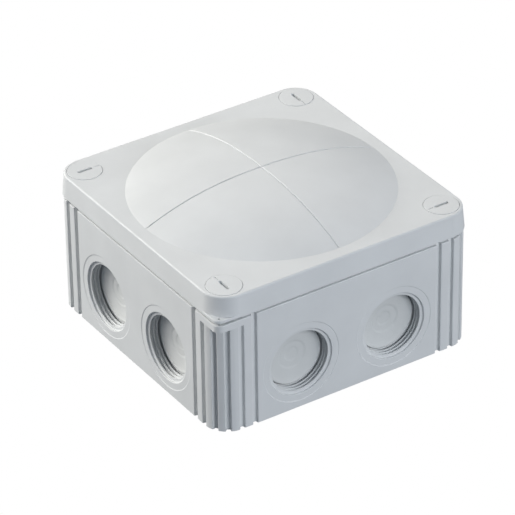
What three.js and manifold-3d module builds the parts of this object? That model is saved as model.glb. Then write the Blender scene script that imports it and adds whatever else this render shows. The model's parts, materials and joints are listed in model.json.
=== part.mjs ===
// Surface-mounted electrical junction box, 110 x 110 x 66 mm: a fluted base with two
// M25 cable entries on each side, a domed lid held by four quarter-turn screws, and
// a five-pole screw terminal inside. Millimetres, +Z up, origin at the centre of the
// wall side. The front is -Y. Each quarter turn repeats the box, except for the
// terminal and for the two corners that carry a sealing wire.

import * as THREE from "three";
import { mergeVertices } from "three/addons/utils/BufferGeometryUtils.js";
import Module from "manifold-3d";

const wasm = await Module();
wasm.setup();

// ---------------------------------------------------------------- dimensions

const HEIGHT = 66; // wall to the top of the dome
const LID_HALF = 55; // half of the lid's width
const GAP = 0.3; // between neighbouring pieces

const PAD = 0.9; // the wall pads' height under the floor
const PAD_RADIUS = 6.2;
const FLOOR = 2.6; // floor thickness
const FLOOR_TOP = PAD + FLOOR;

const BASE_HALF = 54.8; // the side panels' planes
const CORNER_RADIUS = 9.5; // round envelope of the fluted corners
const GROOVE_WIDTH = 2.05; // flutes, measured along the corner's outline
const GROOVE_PITCH = 5.45;
const GROOVE_START = 2.4; // first groove's distance from the diagonal
const GROOVE_DEPTH = 1.3;
const GROOVES = 3; // on each side of the diagonal
const BRACKET_BOTTOM = 44.4; // the sealing wire's brackets on two opposite corners
const BRACKET_RADIUS = 2.8;
const BRACKET_REACH = 12.5; // along each side, from where the sharp corner would be
const WIRE_EYE = 53.15; // x and y of the brackets' holes
const WIRE_EYE_RADIUS = 0.5;
const RIM_TOP = 47.2; // top face of the base's wall

const SCREW = 46.3; // x and y of the lid screws and their corner wells
const WELL_RADIUS = 5.6;
const WELL_BOTTOM = 36.5;
const FIXING = 36; // x and y of the four wall-fixing holes in the floor
const FIXING_HOLE_RADIUS = 2.3; // for a 4 mm wall screw
const KNOCKOUT = { bottom: 1, top: 1.6 }; // the thin skin that the screw breaks through
const COLLAR_RADIUS = 4.6; // round each hole, inside
const COLLAR_TOP = 5.5;

// The sealing line is a square whose corners bend inwards round the screw wells.
const SEAL_HALF = 51.9;
const SEAL_BEND = 9.2;
const TONGUE_TOP = 51.8; // the base's rim that presses into the seal
const TONGUE_WIDTH = 1.6;
const THIN_WALL_TOP = 42; // below it the walls thin out to the inside
const WALL_STEP = 1.2;

const ENTRY_OFFSET = 20; // from the middle of a side
const ENTRY_HEIGHT = 19.7;
const ENTRY_RADIUS = 12.2; // mean radius of an M25 thread
const SEAT_RADIUS = 16; // shallow round seat for a gland's nut
const SEAT_DEPTH = 0.4;
const SOCKET_RADIUS = 14.9; // outside of the threaded socket
const SOCKET_DEPTH = 7.5; // from the panel's plane to the socket's inner end
const MEMBRANE_RADIUS = 11.6;
const MEMBRANE_FLANGE = 13.6;
const MEMBRANE_FRONT = 4.9; // below the panel's plane

const LID_BOTTOM = 48.3;
const LID_TOP = 57.2; // the flat round the dome
const LID_RADIUS = 9.3;
const LID_EDGE = 1.2; // bevel of the top edge
const LID_PLATE = 2.5;
const FLANGE = 1.2; // the brackets' thickness at the lid's foot
const DOME_RADIUS = 49.15;
const DOME_FULLNESS = 2.35; // 2 would be a parabola
const RIB_BOTTOM = 51; // the lid's inner rib, which holds the seal
const RIB_WIDTH = 1.2;

const HEAD_RADIUS = 6.6;
const HEAD_HEIGHT = 3;
const SHANK_RADIUS = 4.4;
const SHANK_BOTTOM = 38;
const LUG_RADIUS = 5.2;
const LUG_HEIGHT = 3;
const LUG_WIDTH = 4;
const SLOT = { length: 6, width: 1, depth: 1.6 };

const POLES = 5;
const POLE_PITCH = 9.6;
const BARREL = { width: 8.2, length: 17, height: 13.5, bevel: 2.4 };
const TERMINAL_BOTTOM = 7.8;
const TERMINAL_PLATE = { width: 13, height: 3 };
const EAR_OFFSET = 28.6; // fixing screws, from the middle of the terminal
const EAR_RADIUS = 4.2;
const BOSS_RADIUS = 3.6;
const CLAMP = { width: 5.6, length: 13.6, height: 6.4, bottom: 10.1 };
const WIRE_RADIUS = 2;
const CLAMP_SCREW = { offset: 3.5, radius: 1.35, tip: 14.2, head: 2.1, headTop: 19.4, headHeight: 2.2 };
const FIXING_SCREW = { radius: 1.4, head: 2.9, headHeight: 2, depth: 3.6 };

const QUARTER = Math.PI / 2;
const ROUND = 18; // sides of a small round piece
const FINE_ROUND = 10; // sides of a hole or a screw under 4 mm
const ENTRY_ROUND = 24; // sides of a cable entry
const DOME_ROUND = 48;
const DOME_RINGS = 4;
const BEND_STEPS = 8; // along one hollow corner of the sealing line
const CORNER_STEPS = 5; // along one rounded corner
const LONG = 200; // longer than the object, for cutting tools

// ------------------------------------------------------------------ materials

const MATERIALS = {
  housing: { color: 0xd3d6d7, roughness: 0.5, metalness: 0 },
  screw: { color: 0xd0d3d4, roughness: 0.45, metalness: 0 },
  membrane: { color: 0xb9bebd, roughness: 0.65, metalness: 0 },
  seal: { color: 0x4a4d50, roughness: 0.8, metalness: 0 },
  terminal: { color: 0xe9e7df, roughness: 0.55, metalness: 0 },
  brass: { color: 0xc2a35a, roughness: 0.35, metalness: 1 },
  steel: { color: 0xb9bcc0, roughness: 0.35, metalness: 1 },
};

function named(name, finish, geometry) {
  const mesh = new THREE.Mesh(geometry, new THREE.MeshStandardMaterial(MATERIALS[finish]));
  mesh.name = name;
  return mesh;
}

// -------------------------------------------------------------------- helpers

// A closed three.js geometry as a manifold-3d solid, for joining and cutting.
function solid(geometry) {
  const bare = geometry.clone();
  bare.deleteAttribute("normal");
  bare.deleteAttribute("uv");
  const merged = mergeVertices(bare, 1e-4);
  return new wasm.Manifold(
    new wasm.Mesh({
      numProp: 3,
      vertProperties: new Float32Array(merged.attributes.position.array),
      triVerts: new Uint32Array(merged.index.array),
    }),
  );
}

function geometryOf(manifold) {
  const { vertProperties, triVerts } = manifold.getMesh();
  const geometry = new THREE.BufferGeometry();
  geometry.setAttribute("position", new THREE.BufferAttribute(vertProperties, 3));
  geometry.setIndex(new THREE.BufferAttribute(triVerts, 1));
  geometry.computeVertexNormals();
  return geometry;
}

function prismGeometry(shape, bottom, top) {
  const options = { depth: top - bottom, bevelEnabled: false, curveSegments: ROUND };
  return new THREE.ExtrudeGeometry(shape, options).translate(0, 0, bottom);
}

function prism(shape, bottom, top) {
  return solid(prismGeometry(shape, bottom, top));
}

function box(x, y, z, width, length, height) {
  return solid(new THREE.BoxGeometry(width, length, height).translate(x, y, z));
}

function rod(x, y, radius, bottom, top, sides = ROUND) {
  const geometry = new THREE.CylinderGeometry(radius, radius, top - bottom, sides);
  return solid(geometry.rotateX(QUARTER).translate(x, y, (top + bottom) / 2));
}

// A body of revolution about Z from [radius, height] pairs that run upwards outside.
function turned(profile, sides) {
  const points = profile.map(([radius, height]) => new THREE.Vector2(radius, height));
  return new THREE.LatheGeometry(points, sides).rotateX(QUARTER);
}

function arcPoints(x, y, radius, from, to, steps) {
  return Array.from({ length: steps + 1 }, (_, i) => {
    const angle = from + ((to - from) * i) / steps;
    return new THREE.Vector2(x + radius * Math.cos(angle), y + radius * Math.sin(angle));
  });
}

// The outline that repeats one corner's points four times round the origin.
function fourfold(corner) {
  const origin = new THREE.Vector2();
  const quarters = [0, 1, 2, 3].map((k) => {
    return corner.map((point) => point.clone().rotateAround(origin, k * QUARTER));
  });
  return new THREE.Shape(quarters.flat());
}

function roundedSquare(half, radius) {
  return fourfold(arcPoints(half - radius, half - radius, radius, 0, QUARTER, CORNER_STEPS));
}

// The sealing line, moved outwards by the offset: straight sides, and hollow
// corners that keep clear of the corner wells.
function sealOutline(offset) {
  const half = SEAL_HALF + offset;
  const bend = SEAL_BEND - offset;
  const rise = half - SCREW;
  const run = Math.sqrt(bend * bend - rise * rise);
  const from = Math.atan2(-run, rise);
  const to = Math.atan2(rise, -run) - 2 * Math.PI;
  return fourfold(arcPoints(SCREW, SCREW, bend, from, to, BEND_STEPS));
}

function sealRing(inner, outer, bottom, top) {
  return prism(sealOutline(outer), bottom, top).subtract(prism(sealOutline(inner), bottom - 1, top + 1));
}

// Turns a solid's copies into all four quarters and applies them to the whole.
function quarterly(whole, piece, action) {
  return [0, 1, 2, 3].reduce((sum, k) => sum[action](piece.rotate([0, 0, 90 * k])), whole);
}

// ----------------------------------------------------------------- the base

// A point on the corner's round envelope, at a distance from the diagonal and a depth.
function envelopePoint(distance, depth) {
  const centre = BASE_HALF - CORNER_RADIUS;
  const arc = (CORNER_RADIUS * QUARTER) / 2;
  const along = THREE.MathUtils.clamp(distance, -arc, arc);
  const angle = QUARTER / 2 + along / CORNER_RADIUS;
  const straight = distance - along;
  const radius = CORNER_RADIUS - depth;
  return new THREE.Vector2(
    centre + radius * Math.cos(angle) - Math.max(straight, 0),
    centre + radius * Math.sin(angle) + Math.min(straight, 0),
  );
}

function flutedOutline() {
  const grooves = [];
  for (let i = GROOVES - 1; i >= 0; i -= 1) grooves.push(-GROOVE_START - i * GROOVE_PITCH);
  for (let i = 0; i < GROOVES; i += 1) grooves.push(GROOVE_START + i * GROOVE_PITCH);
  const corner = grooves.flatMap((middle) => [
    envelopePoint(middle - GROOVE_WIDTH / 2, 0),
    envelopePoint(middle - GROOVE_WIDTH / 3, GROOVE_DEPTH),
    envelopePoint(middle + GROOVE_WIDTH / 3, GROOVE_DEPTH),
    envelopePoint(middle + GROOVE_WIDTH / 2, 0),
    envelopePoint(middle + GROOVE_PITCH / 2, 0),
  ]);
  return fourfold(corner);
}

// A round cut or boss on the front panel, from one depth below its plane to another.
function onPanel(offset, radius, from, to) {
  const y = -BASE_HALF + (from + to) / 2;
  const geometry = new THREE.CylinderGeometry(radius, radius, to - from, ENTRY_ROUND);
  return solid(geometry.translate(offset, y, ENTRY_HEIGHT));
}

// The front left and back right corners, squared off to carry a sealing wire.
function wireBrackets(half, bottom, top) {
  const middle = BRACKET_REACH / 2 - half;
  const corner = box(middle, middle, (bottom + top) / 2, BRACKET_REACH, BRACKET_REACH, LONG);
  const square = prism(roundedSquare(half, BRACKET_RADIUS), bottom, top);
  const eye = rod(-WIRE_EYE, -WIRE_EYE, WIRE_EYE_RADIUS, 0, LONG, FINE_ROUND);
  const bracket = square.intersect(corner).subtract(eye);
  return bracket.add(bracket.rotate([0, 0, 180]));
}

function baseShell() {
  let shell = prism(flutedOutline(), PAD, RIM_TOP);
  shell = shell.add(wireBrackets(BASE_HALF, BRACKET_BOTTOM, RIM_TOP));
  shell = shell.subtract(prism(sealOutline(-TONGUE_WIDTH / 2), THIN_WALL_TOP, LONG));
  const hollow = sealOutline(WALL_STEP - TONGUE_WIDTH / 2);
  shell = shell.subtract(prism(hollow, FLOOR_TOP, THIN_WALL_TOP + 0.01));
  shell = shell.add(sealRing(-TONGUE_WIDTH / 2, TONGUE_WIDTH / 2, RIM_TOP - 1, TONGUE_TOP));
  for (const offset of [-ENTRY_OFFSET, ENTRY_OFFSET]) {
    shell = quarterly(shell, onPanel(offset, SOCKET_RADIUS, 1, SOCKET_DEPTH), "add");
    shell = quarterly(shell, onPanel(offset, SEAT_RADIUS, -1, SEAT_DEPTH), "subtract");
    shell = quarterly(shell, onPanel(offset, ENTRY_RADIUS, -1, SOCKET_DEPTH + 1), "subtract");
  }
  shell = quarterly(shell, rod(SCREW, SCREW, WELL_RADIUS, WELL_BOTTOM, LONG), "subtract");
  shell = quarterly(shell, rod(FIXING, FIXING, PAD_RADIUS, 0, PAD + 0.5), "add");
  shell = quarterly(shell, rod(FIXING, FIXING, COLLAR_RADIUS, FLOOR_TOP - 0.5, COLLAR_TOP), "add");
  for (const [bottom, top] of [[-1, KNOCKOUT.bottom], [KNOCKOUT.top, LONG]]) {
    const hole = rod(FIXING, FIXING, FIXING_HOLE_RADIUS, bottom, top, FINE_ROUND);
    shell = quarterly(shell, hole, "subtract");
  }
  const bossTop = TERMINAL_BOTTOM - GAP;
  for (const x of [-EAR_OFFSET, EAR_OFFSET]) {
    shell = shell.add(rod(x, 0, BOSS_RADIUS, FLOOR_TOP - 0.5, bossTop));
    shell = shell.subtract(rod(x, 0, FIXING_SCREW.radius + GAP, FLOOR_TOP, LONG, FINE_ROUND));
  }
  return geometryOf(shell);
}

// ------------------------------------------------------------------ the lid

function domeHeight(radius, edge, rise) {
  return rise * (1 - (radius / edge) ** DOME_FULLNESS);
}

// A domed plug about Z that stands on a plane, with a cylinder under it.
function dome(edge, bottom, plane, rise) {
  const profile = [
    [0, bottom],
    [edge, bottom],
  ];
  for (let i = DOME_RINGS; i >= 0; i -= 1) {
    const radius = edge * Math.sqrt(i / DOME_RINGS);
    profile.push([radius, plane + domeHeight(radius, edge, rise)]);
  }
  return solid(turned(profile, DOME_ROUND));
}

// The lid's outer block, with a bevel round the top edge only.
function lidBlock() {
  const outline = roundedSquare(LID_HALF, LID_RADIUS);
  const options = {
    depth: LID_TOP - LID_BOTTOM,
    bevelThickness: LID_EDGE,
    bevelSize: LID_EDGE,
    bevelOffset: -LID_EDGE,
    bevelSegments: 2,
  };
  const block = new THREE.ExtrudeGeometry(outline, options).translate(0, 0, LID_BOTTOM - LID_EDGE);
  return solid(block).subtract(box(0, 0, LID_BOTTOM - LONG / 2, LONG, LONG, LONG));
}

function lid() {
  const ceiling = LID_TOP - LID_PLATE;
  const grooveOuter = TONGUE_WIDTH / 2 + 0.4;
  const grooveInner = -TONGUE_WIDTH / 2 - 0.9;
  let cover = lidBlock().add(wireBrackets(LID_HALF, LID_BOTTOM, LID_BOTTOM + FLANGE));
  cover = cover.add(dome(DOME_RADIUS, LID_TOP - 1, LID_TOP, HEIGHT - LID_TOP));
  cover = cover.subtract(prism(sealOutline(grooveOuter), LID_BOTTOM - 1, ceiling));
  cover = cover.add(sealRing(grooveInner - RIB_WIDTH, grooveInner, RIB_BOTTOM, ceiling + 0.5));
  cover = cover.subtract(dome(DOME_RADIUS - LID_PLATE, ceiling - 1, ceiling, HEIGHT - LID_TOP));
  const seat = LID_TOP - HEAD_HEIGHT - GAP;
  cover = quarterly(cover, rod(SCREW, SCREW, HEAD_RADIUS + GAP, seat, LONG), "subtract");
  cover = quarterly(cover, rod(SCREW, SCREW, SHANK_RADIUS + GAP, 0, LONG), "subtract");
  return geometryOf(cover);
}

function lidSeal() {
  const bottom = TONGUE_TOP + GAP;
  const top = LID_TOP - LID_PLATE - GAP;
  return geometryOf(sealRing(-TONGUE_WIDTH / 2 - 0.6, TONGUE_WIDTH / 2 + 0.1, bottom, top));
}

// A captive quarter-turn screw about Z: slotted head, round shank, two locking lugs.
function lidScrew() {
  let screw = rod(0, 0, HEAD_RADIUS, LID_TOP - HEAD_HEIGHT, LID_TOP);
  screw = screw.add(rod(0, 0, SHANK_RADIUS, SHANK_BOTTOM, LID_TOP - 1));
  const lugs = rod(0, 0, LUG_RADIUS, SHANK_BOTTOM, SHANK_BOTTOM + LUG_HEIGHT);
  screw = screw.add(lugs.intersect(box(0, 0, SHANK_BOTTOM, LUG_WIDTH, LONG, LONG)));
  screw = screw.subtract(box(0, 0, LID_TOP, SLOT.width, SLOT.length, 2 * SLOT.depth));
  return geometryOf(screw);
}

// ----------------------------------------------------------- cable entries

// A soft entry membrane about Z, its front towards +Z and the panel's plane at 0.
function entryMembrane() {
  const front = -MEMBRANE_FRONT;
  const back = -SOCKET_DEPTH - GAP;
  const plug = MEMBRANE_RADIUS;
  const profile = [
    [0, front - 2.8],
    [plug - 2, front - 2],
    [plug - 1.6, back - 1.2],
    [MEMBRANE_FLANGE, back - 1.2],
    [MEMBRANE_FLANGE, back],
    [plug, back],
    [plug, front],
    [4.2, front - 1.1],
    [0, front - 1.6],
  ];
  return geometryOf(solid(turned(profile, ROUND)));
}

// ------------------------------------------------------------ the terminal

function poleOffset(index) {
  return (index - (POLES - 1) / 2) * POLE_PITCH;
}

// One insulated barrel across Y, with its top edges bevelled.
function barrel(x) {
  const half = BARREL.length / 2;
  const outline = new THREE.Shape([
    new THREE.Vector2(-half, 0),
    new THREE.Vector2(half, 0),
    new THREE.Vector2(half, BARREL.height - BARREL.bevel),
    new THREE.Vector2(half - BARREL.bevel, BARREL.height),
    new THREE.Vector2(-half + BARREL.bevel, BARREL.height),
    new THREE.Vector2(-half, BARREL.height - BARREL.bevel),
  ]);
  const geometry = prismGeometry(outline, -BARREL.width / 2, BARREL.width / 2);
  return solid(geometry.rotateX(QUARTER).rotateZ(QUARTER).translate(x, 0, TERMINAL_BOTTOM));
}

function terminalHousing() {
  const { width: plateWidth, height: plateHeight } = TERMINAL_PLATE;
  const plateTop = TERMINAL_BOTTOM + plateHeight;
  const clampMiddle = CLAMP.bottom + CLAMP.height / 2;
  const middle = TERMINAL_BOTTOM + plateHeight / 2;
  let housing = box(0, 0, middle, 2 * EAR_OFFSET, 2 * EAR_RADIUS, plateHeight);
  for (const x of [-EAR_OFFSET, EAR_OFFSET]) {
    housing = housing.add(rod(x, 0, EAR_RADIUS, TERMINAL_BOTTOM, plateTop));
  }
  for (let i = 0; i < POLES; i += 1) housing = housing.add(barrel(poleOffset(i)));
  housing = housing.add(box(0, 0, middle, POLES * POLE_PITCH - 2, plateWidth, plateHeight));
  for (let i = 0; i < POLES; i += 1) {
    const x = poleOffset(i);
    const width = CLAMP.width + 2 * GAP;
    housing = housing.subtract(box(x, 0, clampMiddle, width, LONG, CLAMP.height + 2 * GAP));
    for (const y of [-CLAMP_SCREW.offset, CLAMP_SCREW.offset]) {
      housing = housing.subtract(rod(x, y, CLAMP_SCREW.head + GAP, clampMiddle, LONG, FINE_ROUND));
    }
  }
  for (const x of [-EAR_OFFSET, EAR_OFFSET]) {
    housing = housing.subtract(rod(x, 0, FIXING_SCREW.radius + GAP, 0, LONG, FINE_ROUND));
  }
  return geometryOf(housing);
}

// A brass bar bored along Y for the wires and from above for its two screws.
function clampBody() {
  const middle = CLAMP.bottom + CLAMP.height / 2;
  let body = box(0, 0, middle, CLAMP.width, CLAMP.length, CLAMP.height);
  const wireHeight = CLAMP.bottom + WIRE_RADIUS + 0.6;
  const bore = new THREE.CylinderGeometry(WIRE_RADIUS, WIRE_RADIUS, LONG, FINE_ROUND);
  body = body.subtract(solid(bore.translate(0, 0, wireHeight)));
  for (const y of [-CLAMP_SCREW.offset, CLAMP_SCREW.offset]) {
    body = body.subtract(rod(0, y, CLAMP_SCREW.radius + GAP, wireHeight, LONG, FINE_ROUND));
  }
  return geometryOf(body);
}

// A cheese-head screw about Z with a slot across its head.
function slottedScrew(radius, tip, headRadius, headTop, headHeight) {
  let screw = rod(0, 0, headRadius, headTop - headHeight, headTop, FINE_ROUND);
  screw = screw.add(rod(0, 0, radius, tip, headTop - headHeight / 2, FINE_ROUND));
  const slot = box(0, 0, headTop, headRadius * 3, headRadius * 0.4, headHeight);
  return geometryOf(screw.subtract(slot));
}

function fixingScrew() {
  const seat = TERMINAL_BOTTOM + TERMINAL_PLATE.height + GAP;
  const { radius, head, headHeight, depth } = FIXING_SCREW;
  return slottedScrew(radius, TERMINAL_BOTTOM - depth, head, seat + headHeight, headHeight);
}

// ------------------------------------------------------------------ assembly

const group = new THREE.Group();
group.add(named("base_shell", "housing", baseShell()));
group.add(named("lid", "housing", lid()));
group.add(named("lid_seal", "seal", lidSeal()));

// Corners and sides in the order of their quarter turns from the front left.
const CORNERS = ["front_left", "front_right", "back_right", "back_left"];
const SIDE_ENTRIES = [
  ["front_left", "front_right"],
  ["right_front", "right_back"],
  ["back_right", "back_left"],
  ["left_back", "left_front"],
];

for (let k = 0; k < 4; k += 1) {
  const quarter = new THREE.Group();
  quarter.rotation.z = k * QUARTER;
  const screw = named(`lid_screw_${CORNERS[k]}`, "screw", lidScrew());
  screw.position.set(-SCREW, -SCREW, 0);
  quarter.add(screw);
  SIDE_ENTRIES[k].forEach((place, end) => {
    const membrane = named(`entry_membrane_${place}`, "membrane", entryMembrane());
    membrane.rotation.x = QUARTER;
    membrane.position.set((end ? 1 : -1) * ENTRY_OFFSET, -BASE_HALF, ENTRY_HEIGHT);
    quarter.add(membrane);
  });
  group.add(quarter);
}

group.add(named("terminal_housing", "terminal", terminalHousing()));
for (let i = 0; i < POLES; i += 1) {
  const pole = new THREE.Group();
  pole.position.x = poleOffset(i);
  pole.add(named(`terminal_clamp_${i + 1}`, "brass", clampBody()));
  for (const [place, y] of [["front", -CLAMP_SCREW.offset], ["back", CLAMP_SCREW.offset]]) {
    const { radius, tip, head, headTop, headHeight } = CLAMP_SCREW;
    const geometry = slottedScrew(radius, tip, head, headTop, headHeight);
    const screw = named(`clamp_screw_${i + 1}_${place}`, "steel", geometry);
    screw.position.y = y;
    pole.add(screw);
  }
  group.add(pole);
}
for (const [place, x] of [["left", -EAR_OFFSET], ["right", EAR_OFFSET]]) {
  const screw = named(`fixing_screw_${place}`, "steel", fixingScrew());
  screw.position.x = x;
  group.add(screw);
}

export default group;
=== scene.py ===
"""The looks of a surface-mounted junction box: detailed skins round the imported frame.

Mesh code works in millimetres, in the frame's own axes, and every patch of a piece is
welded into one closed skin. The box repeats every quarter turn, so its pieces are built
for the front side and the front left corner and turned into the other three.
"""

import json
import math

import bmesh
import bpy
from mathutils import Matrix, Vector
from mathutils.geometry import delaunay_2d_cdt


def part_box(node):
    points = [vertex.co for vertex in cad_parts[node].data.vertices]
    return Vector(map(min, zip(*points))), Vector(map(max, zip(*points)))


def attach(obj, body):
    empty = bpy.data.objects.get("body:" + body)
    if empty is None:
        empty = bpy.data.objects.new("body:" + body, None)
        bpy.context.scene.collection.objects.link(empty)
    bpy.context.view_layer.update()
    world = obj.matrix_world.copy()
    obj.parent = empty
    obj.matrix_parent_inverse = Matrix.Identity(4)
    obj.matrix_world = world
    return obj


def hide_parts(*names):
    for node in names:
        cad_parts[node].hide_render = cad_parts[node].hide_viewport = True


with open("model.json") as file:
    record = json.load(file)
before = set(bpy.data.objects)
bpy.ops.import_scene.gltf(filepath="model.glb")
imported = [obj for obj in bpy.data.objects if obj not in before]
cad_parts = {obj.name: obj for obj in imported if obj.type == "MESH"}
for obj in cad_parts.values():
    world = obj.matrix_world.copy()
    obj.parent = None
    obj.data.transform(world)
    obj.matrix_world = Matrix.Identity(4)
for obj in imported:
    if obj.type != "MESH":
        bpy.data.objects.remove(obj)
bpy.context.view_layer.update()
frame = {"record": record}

MM = 0.001
QUARTERS = range(4)
CORNERS = ("front_left", "front_right", "back_right", "back_left")


def box_mm(node):
    low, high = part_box(node)
    return low / MM, high / MM


# ---- sizes from the frame

_, base_high = box_mm("base_shell")
lid_low, lid_high = box_mm("lid")
screw_low, screw_high = box_mm("lid_screw_front_left")
entry_low, entry_high = box_mm("entry_membrane_front_left")
housing_low, housing_high = box_mm("terminal_housing")
clamp_low, clamp_high = box_mm("terminal_clamp_3")
clamp_screw_low, clamp_screw_high = box_mm("clamp_screw_3_back")
fixing_low, fixing_high = box_mm("fixing_screw_right")

BASE_HALF = base_high.x
TONGUE_TOP = base_high.z
LID_HALF = lid_high.x
LID_BOTTOM = lid_low.z
DOME_TOP = lid_high.z
LID_TOP = screw_high.z
SCREW = -(screw_low.x + screw_high.x) / 2
HEAD_RADIUS = (screw_high.x - screw_low.x) / 2
SHANK_BOTTOM = screw_low.z
ENTRY_OFFSET = -(entry_low.x + entry_high.x) / 2
ENTRY_HEIGHT = (entry_low.z + entry_high.z) / 2
MEMBRANE_FLANGE = (entry_high.z - entry_low.z) / 2
MOUNTS = {mount["name"]: mount for mount in frame["record"]["mounts"]}
FIXING = abs(MOUNTS["wall_pad_back_right"]["pos_m"][1]) / MM

# ---- base, in mm
#
# In the profiles further down, steps of less than a millimetre ease or round an edge.

PAD = 0.9
PAD_RADIUS = 6.2
FLOOR_TOP = 3.5
FLOOR_FILLET = 0.6
CORNER_RADIUS = 9.5
GROOVES = 3  # on each side of a corner's middle
GROOVE_WIDTH = 2.05
GROOVE_PITCH = 5.45
GROOVE_START = 2.4
GROOVE_DEPTH = 1.3
# A groove's rounded side: distances inwards from its edge, with shares of its depth.
GROOVE_SIDE = ((-0.32, 0), (-0.14, 0.04), (0.02, 0.18), (0.18, 0.75), (0.36, 0.96), (0.6, 1))
LAND_SHARES = (0.42, 0.5, 0.58)  # points of the land between two grooves
BRACKET_BOTTOM = 44.4
BRACKET_RADIUS = 2.8
BRACKETS = (0, 2)  # quarter turns from the back right corner
WIRE_EYE = 53.15
WIRE_EYE_RADIUS = 0.5
RIM_TOP = 47.2
WELL_RADIUS = 5.6
WELL_BOTTOM = 36.5
FIXING_HOLE = 2.3
KNOCKOUT_BOTTOM = 1.0
KNOCKOUT_TOP = 1.6
FOOT_EASE = 0.2
RIM_EASE = 0.35
RIM_STEPS = ((0, RIM_TOP - RIM_EASE), (0.1, RIM_TOP - 0.1), (RIM_EASE, RIM_TOP))
LIP_INSET = 1.1
LIP_TOP = 47.8
LIP_EASE = 0.05
LIP_FILLET = 0.2
LIP_FOLLOW = 0.48  # the share of the flutes' depth that the lip follows
COLLAR_RADIUS = 4.6
COLLAR_TOP = 5.5
SEAL_HALF = 51.9
SEAL_BEND = 9.2
TONGUE = 0.8
TONGUE_FOOT = 42.4
# The tongue's rounded edges: steps inwards, with steps down from its top.
TONGUE_EDGE = ((0, 0.45), (0.13, 0.13), (0.45, 0))
WALL_OFFSET = 0.4
WALL_BOTTOM = FLOOR_TOP + FLOOR_FILLET
WALL_TOP = 41.2
WALL_DEPTH = BASE_HALF - SEAL_HALF - WALL_OFFSET
SEAT_RADIUS = 16.0
SEAT_DEPTH = 0.2
# The mouth of an entry: radii, with depths behind the seat.
MOUTH = (
    (13.6, 0),
    (13.42, 0.04),
    (13.3, 0.16),
    (13.2, 0.6),
    (12.95, 0.76),
    (12.1, 0.9),
    (12.0, 1.2),
)
THREAD_TURNS = 2
THREAD_MAJOR = 12.85
THREAD_MINOR = 11.95
THREAD_PITCH = 1.5
THREAD_ROOT = 1.95
THREAD_ROOT_HALF = 0.12
THREAD_CREST_HALF = 0.16
UNDERCUT = 13.5
SLEEVE = 11.9
SOCKET_RADIUS = 14.9
SOCKET_DEPTH = 7.5
BOSS_RADIUS = 3.6
BOSS_TOP = 7.5
BOSS_HOLE = 1.75
BOSS_HOLE_BOTTOM = 3.9

# ---- lid, in mm

LID_RADIUS = 9.3
LID_DRAFT = 0.6
LID_FILLET = 0.7
FLANGE_TOP = 49.5
DOME_RADIUS = 49.15
DOME_FULLNESS = 2.35
DOME_STEPS = 30
DOME_GROOVE = 0.36
DOME_GROOVE_DEPTH = 0.36
DOME_GROOVE_FADE = 1.2
# Across a groove of the dome: shares of its half width, with shares of its depth.
DOME_GROOVE_STEPS = (
    (-1, 0),
    (-0.84, 0.08),
    (-0.16, 0.92),
    (0, 1),
    (0.16, 0.92),
    (0.84, 0.08),
    (1, 0),
)
LID_CEILING = 54.7
HOLLOW_RADIUS = DOME_RADIUS - 2.5
HOLLOW_STEPS = 13
SEAL_GROOVE_OUTER = TONGUE + 0.4
RIB_OUTER = -TONGUE - 0.9
RIB_INNER = RIB_OUTER - 1.2
RIB_BOTTOM = 51.0
HEAD_CLEARANCE = 0.09
HEAD_PROUD = 0.15
HEAD_SEAT = 3.3
HEAD_BOTTOM = LID_TOP - 3.0
SLOT_HALF_WIDTH = 0.65
SLOT_HALF_LENGTH = 3.1
SLOT_DEPTH = 1.2
MARK_START = 3.7
MARK_END = 6.0
MARK_HALF_WIDTH = 0.2
MARK_DEPTH = 0.3
SHANK_RADIUS = 4.4
NECK_RADIUS = 3.5
NECK_HEIGHT = 3.4
LUG_REACH = 5.15
LUG_HALF = 1.9
LUG_ANGLE = 21.5
LUG_ROOT = 2.6
LUG_HEIGHT = 2.9

# ---- membranes, in mm

MEMBRANE_PLUG = 11.6
MEMBRANE_FRONT = 4.9
MEMBRANE_BORE = 10.4
# The rings of its dished front: radii, with depths behind its foremost ring.
MEMBRANE_FACE = (
    (0.9, 1.7),
    (2.2, 1.69),
    (2.5, 1.66),
    (2.9, 1.5),
    (3.2, 1.46),
    (4.9, 1.38),
    (5.25, 1.34),
    (5.7, 1.1),
    (6.05, 1.05),
    (7.5, 0.84),
    (9.6, 0.48),
    (10.4, 0.24),
    (10.9, 0.03),
    (11.2, 0),
    (11.45, 0.08),
    (MEMBRANE_PLUG, 0.3),
)
# Its back, from the rim to the middle, with depths behind the same ring.
MEMBRANE_BACK = ((9.4, 2.0), (5.2, 2.5), (4.2, 2.8), (0.9, 2.9))

# ---- terminal, in mm

POLES = (-2, -1, 0, 1, 2)
POLE_PITCH = (box_mm("terminal_clamp_4")[0] - clamp_low).x
BARREL = 8.2
BARREL_BEVEL = 2.4
TERMINAL_PLATE = 3.0
EAR_HALF = 4.2
EAR = housing_high.x - EAR_HALF
EAR_RIB_HALF = 0.7
EAR_RIB_END = EAR - 4.0
EAR_RIB_HEIGHT = 1.2
WEB_HALF = 6.5
OVERLAP = 0.3  # how far webs, ears and ribs run into their neighbours
WIRE_MOUTH_HALF = 3.1
WIRE_MOUTH_MARGIN = 0.3
WIRE_MOUTH_RADIUS = 0.6
WIRE_RADIUS = 2.0
WIRE_BEND = 0.4
CLAMP_FLOOR = 0.6
WELL_CLEARANCE = 0.25
CLAMP_SCREW = (clamp_screw_low.y + clamp_screw_high.y) / 2
CLAMP_SCREW_HEAD = (clamp_screw_high.y - clamp_screw_low.y) / 2
CLAMP_SCREW_HEIGHT = 2.2
CLAMP_SCREW_SHANK = 1.35
FIXING_HEAD = fixing_high.y
FIXING_HEIGHT = 2.0
FIXING_SHANK = 1.4
FIXING_CLEARANCE = 0.3
SCREW_SLOT = 0.2  # half the slot's width, as a share of the head's radius
SCREW_PITCH = 0.5
SCREW_THREAD = 0.22
SCREW_START = 0.2
SCREW_TIP = 0.35


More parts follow.
